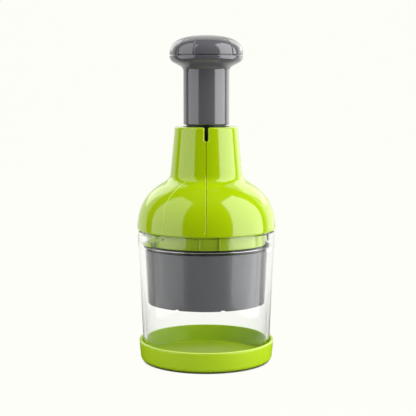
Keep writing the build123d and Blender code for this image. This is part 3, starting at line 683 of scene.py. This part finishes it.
def side_by_side(parts):
    """Several (points, faces) pairs as one: each one's corner numbers start after the last's."""
    points, faces = [], []
    for own_points, own_faces in parts:
        start = sum(map(len, points))
        points.append(own_points)
        faces += [[corner + start for corner in face] for face in own_faces]
    return np.concatenate(points), faces


# %% Coiled wire
def coil_surface(radius, wire_r, low, high, turns, steps=40, flats=12):
    """A circle carried along a coil: the angle runs evenly, and the height rises by one wire
    thickness in each end turn and evenly in between."""
    angle = np.linspace(0, turns, turns * steps + 1)
    thick = 2 * wire_r
    rise = high - low - thick
    z = low + wire_r + np.interp(angle, [0, 1, turns - 1, turns], [0, thick, rise - thick, rise])
    z = np.concatenate([z[:4], running_mean(z), z[-4:]])
    turn = 2 * np.pi * angle
    out = np.stack([np.cos(turn), np.sin(turn), 0 * turn], 1)
    return carried_circle(radius * out + on_axis(z), out, wire_r, flats)


# %% Return spring
return_spring_r = 9.394 * mm
return_wire_r = 0.65 * mm
return_turns = 11
return_low, return_high = (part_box("return_spring")[i].z for i in (0, 1))

return_wire = coil_surface(return_spring_r, return_wire_r, return_low, return_high, return_turns)
return_coil = add_mesh("return_spring_wire", *return_wire)
return_coil.data.materials.append(spring_wire)
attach(return_coil, "ring")
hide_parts("return_spring")
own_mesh(return_coil)

# %% Stripper springs
post_spring_r = 2.85 * mm
post_wire_r = 0.3 * mm
post_turns = 5
post_places = np.array([(21.9, 8.1), (0, 29.9), (-21.9, -8.1), (0, -29.9)]) * mm
post_low, post_high = (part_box("stripper_springs")[i].z for i in (0, 1))

wire_points, wire_faces = coil_surface(
    post_spring_r, post_wire_r, post_low, post_high, post_turns, steps=28, flats=10
)
post_parts = [(wire_points + (*place, 0), wire_faces) for place in post_places]
post_coils = add_mesh("stripper_spring_wires", *side_by_side(post_parts))
post_coils.data.materials.append(spring_wire)
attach(post_coils, "blade_unit")
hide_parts("stripper_springs")
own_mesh(post_coils)

# %% [markdown]
# ## The knob's cap
#
# The cap is a squared dome with a turned-in spigot. Fine grooves run up it from the rim towards
# the top. The dome is turned from a profile, and each groove presses the surface in along one
# line of its columns. The columns lie close together there and wider apart elsewhere.

# %% Profile of the cap
cap_low, cap_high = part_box("knob_cap")
knob_r = 26.0 * mm
cap_z = 218.0 * mm
cap_top_z = cap_high.z
cap_edge_r = 0.5 * mm
cap_fullness = 0.70
spigot_r = 23.1 * mm
hollow_r = 22.0 * mm
hollow_top_z = cap_top_z - 2.4 * mm
rim_rows, dome_rows, hollow_rows = 6, 56, 20
dome_start = 0.02


def dome_profile(radius, low, high, start, count):
    """A cubic Bezier curve from the rim to the top: upright at the rim and level at the top."""
    t = np.linspace(start, 1, count)[:, None]
    rim, top = np.array([radius, low]), np.array([0, high])
    above = np.array([radius, low + cap_fullness * (high - low)])
    beside = np.array([cap_fullness * radius, high])
    lower = (1 - t) ** 3 * rim + 3 * (1 - t) ** 2 * t * above
    return lower + 3 * (1 - t) * t**2 * beside + t**3 * top


turn = np.linspace(-math.pi / 2, 0, rim_rows)[:-1]
rim_arc_r = knob_r + cap_edge_r * (np.cos(turn) - 1)
rim_arc = np.stack([rim_arc_r, cap_z + cap_edge_r * (1 + np.sin(turn))], 1)
outside = dome_profile(knob_r, cap_z, cap_top_z, dome_start, dome_rows)[::-1]
inside = dome_profile(hollow_r, cap_z, hollow_top_z, 0, hollow_rows)
spigot = np.array([(spigot_r, cap_z), (spigot_r, cap_low.z), (hollow_r, cap_low.z)])
cap_profile = np.concatenate([outside, rim_arc[::-1], spigot, inside])
print("cap profile:", len(cap_profile), "points")

# %% Cap with its grooves
groove_turns_deg = np.array([-48.0, -20.0, 45.0])
groove_ends = np.array([3.0, 17.0, 13.0]) * mm
groove_turns = np.radians(groove_turns_deg)
groove_half_width = 0.26 * mm
groove_depth = 0.5 * mm
groove_fade = 4 * mm
groove_reach, groove_columns = 3.2, 17
even_reach, even_columns = 4.5, 120


def cap_columns():
    """Turns of the cap's columns: a fine set across each groove and an even set elsewhere."""
    half_width = groove_half_width / knob_r
    across = np.linspace(-groove_reach, groove_reach, groove_columns) * half_width
    even = np.linspace(-math.pi, math.pi, even_columns, endpoint=False)
    apart = np.abs(even[:, None] - groove_turns).min(1) > even_reach * half_width
    return np.sort(np.concatenate([(groove_turns[:, None] + across).ravel(), even[apart]]))


def knob_cap_surface(profile, smooth_rows):
    """Profile turned about Z. On the first `smooth_rows` rows the radius is less by the sum of
    bell curves exp(-(arc / half width)^2), which fade out towards the radius where each ends."""
    turn = cap_columns()
    radius, z = profile[1:-1, 0][:, None], profile[1:-1, 1][:, None]
    arc = knob_r * (turn[None, :, None] - groove_turns)
    fade = np.clip((radius[..., None] - groove_ends) / groove_fade, 0, 1)
    fade = fade**2 * (3 - 2 * fade) * (np.arange(len(radius)) < smooth_rows)[:, None, None]
    depth = groove_depth * (np.exp(-((arc / groove_half_width) ** 2)) * fade).sum(2)
    pressed = radius - depth
    points = np.stack([pressed * np.sin(turn), -pressed * np.cos(turn), z + 0 * pressed], 2)
    poles = [(0, 0, profile[0, 1]), (0, 0, profile[-1, 1])]
    rows, columns = len(radius), len(turn)
    column = np.arange(columns)
    beside = (column + 1) % columns
    first, last = rows * columns, rows * columns + 1
    faces = grid_faces(rows, columns, close_columns=True)[:, ::-1].tolist()
    faces += np.stack([column, beside, np.full(columns, first)], 1).tolist()
    start = (rows - 1) * columns
    faces += np.stack([start + beside, start + column, np.full(columns, last)], 1).tolist()
    return np.concatenate([points.reshape(-1, 3), poles]), faces


smooth_rows = len(outside) + len(rim_arc) - 1
cap_surface = knob_cap_surface(cap_profile, smooth_rows)
cap = add_mesh("grooved_knob_cap", *cap_surface, crease_deg=50)
cap.data.materials.append(grey_gloss)
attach(cap, "plunger")
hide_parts("knob_cap")

# %% [markdown]
# ## Painted highlight lines
#
# Each half of the bell carries a fine light line: on the left half it bends round the front, and
# on the right half, a half turn on, it bends round the back. A thin bead half in the surface draws
# it, and the bead's pale colour is a painted highlight, the edge of a softbox's reflection. Its
# path follows the bell, found by shooting level rays at the frame piece, and its ends sink into the
# surface. A second, finer pale bead beside the middle seam paints a light line there.

# %% Path of the line
line_z = np.linspace(95.4, 135.6, 90) * mm
line_turn_deg = np.interp(
    line_z / mm,
    [95.0, 100.3, 107.1, 111.6, 115.8, 119.1, 122.3, 125.8, 129.1, 132.0, 134.9],
    [-36.8, -37.1, -37.6, -38.1, -38.8, -38.5, -37.8, -36.1, -34.0, -28.8, -20.6],
)
line_turn_deg = running_mean(np.pad(line_turn_deg, 4, mode="edge"))
print("painted highlight line:", len(line_z), "points, turned", line_turn_deg.min().round(1), "degrees at most")


# %% Helpers: points on a frame piece
def outward(turn_deg):
    """Level directions away from the axis at turns from the front, positive towards +X."""
    turn = np.radians(turn_deg)
    return np.stack([np.sin(turn), -np.cos(turn), 0 * turn], 1)


def on_surface(piece, starts, out):
    """The points where level rays, sent in against the directions `out`, first meet the piece."""
    hits = [piece.ray_cast(start, way) for start, way in zip(starts.tolist(), (-out).tolist())]
    return np.array([hit[1] for hit in hits])


# %% Beads on the two halves
line_r = 0.24 * mm
line_sink = 2.5 * mm
seam_r = 0.13 * mm
seam_side = 0.35 * mm
seam_bed = 0.3
seam_limit = 48.86 * mm
ray_start_r = 0.1

bpy.context.view_layer.update()
from_end = np.minimum(line_z - line_z[0], line_z[-1] - line_z)
fall = np.clip(1 - from_end / line_sink, 0, 1)[:, None]
seam_depth = (seam_bed + (1 - seam_bed) * fall) * seam_r
heights = on_axis(line_z)
for side, half_turn in (("left", 0), ("right", 180)):
    shell = nodes[f"housing_{side}"]
    out = outward(line_turn_deg + half_turn)
    line = on_surface(shell, ray_start_r * out + heights, out) - line_r * fall * out
    ahead = outward(np.full(len(line_z), float(half_turn)))
    beside = seam_side * outward(np.full(len(line_z), half_turn - 90.0))
    seam = on_surface(shell, ray_start_r * ahead + beside + heights, ahead) - seam_depth * ahead
    seam[:, 1] = np.clip(seam[:, 1], -seam_limit, seam_limit)
    tubes = [carried_circle(line, out, line_r), carried_circle(seam, ahead, seam_r)]
    pale_highlight_bead = add_mesh(f"{side}_pale_highlight_beads", *side_by_side(tubes))
    # The pale finish paints a highlight along each bead.
    pale_highlight_bead.data.materials.append(lime_painted_highlight)
    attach(pale_highlight_bead, f"{side}_half")

# %% [markdown]
# ## Rounded ribs on the plug
#
# Behind the clear collar the ring's plug carries upright ribs: one on each side of a shallow
# panel, and a short one that marks the locked place. In the construction their edges are square.
# A rounded bead along each crest, and one round the plug's lower edge, catches the light as a
# moulded edge does, and its lighter lime, the tray's, adds a painted highlight to that.


# %% Helper: a ring with a round section
def ring_surface(ring_r, z, bead_r, steps=180, flats=12):
    """A circle turned about Z: the radius is ring_r plus the bead's cosine, the height its sine."""
    turn = np.linspace(0, 2 * np.pi, steps, endpoint=False)[:, None]
    side = np.linspace(0, 2 * np.pi, flats, endpoint=False)
    radius = ring_r + bead_r * np.cos(side)
    height = z + bead_r * np.sin(side)
    points = np.stack([radius * np.cos(turn), radius * np.sin(turn), height + 0 * turn], 2)
    faces = grid_faces(steps, flats, close_rows=True, close_columns=True).tolist()
    return points.reshape(-1, 3), faces


# %% Crests of the ribs and the lower edge
rib_crest_r = 42.66 * mm
rib_low = 84.95 * mm
rib_steps = 8
rib_high = {-5.8: 94.2 * mm, 12.2: 94.2 * mm, -9.1: 86.9 * mm}
edge_ring_r = 42.05 * mm
edge_ring_z = 85.13 * mm
plug_bead_r = 0.3 * mm

crests = [ring_surface(edge_ring_r, edge_ring_z, plug_bead_r)]
for turn_deg, high in rib_high.items():
    for half_turn in (0, 180):
        z = np.linspace(rib_low, high, rib_steps)
        out = outward(np.full(rib_steps, turn_deg + half_turn))
        crests.append(carried_circle(rib_crest_r * out + on_axis(z), out, plug_bead_r))
edge_beads = add_mesh("plug_edge_beads", *side_by_side(crests), crease_deg=50)
# The tray's lighter lime paints a highlight on the beads.
edge_beads.data.materials.append(lime_satin_painted_lighter)
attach(edge_beads, "ring")

# %% [markdown]
# ## The lip of the tray
#
# A fine bead in the outer shoulder of the tray's rounded lip, a plain ring with a round section,
# draws a light edge: its pale colour is a painted highlight, the reflection from above on the lip.

# %% Lip bead
lip_ring_r = 47.93 * mm
lip_ring_z = 14.72 * mm
lip_bead_r = 0.4 * mm

lip = add_mesh("tray_lip_bead", *ring_surface(lip_ring_r, lip_ring_z, lip_bead_r))
# Its pale finish paints the highlight on the lip.
lip.data.materials.append(lime_painted_highlight)
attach(lip, "tray")
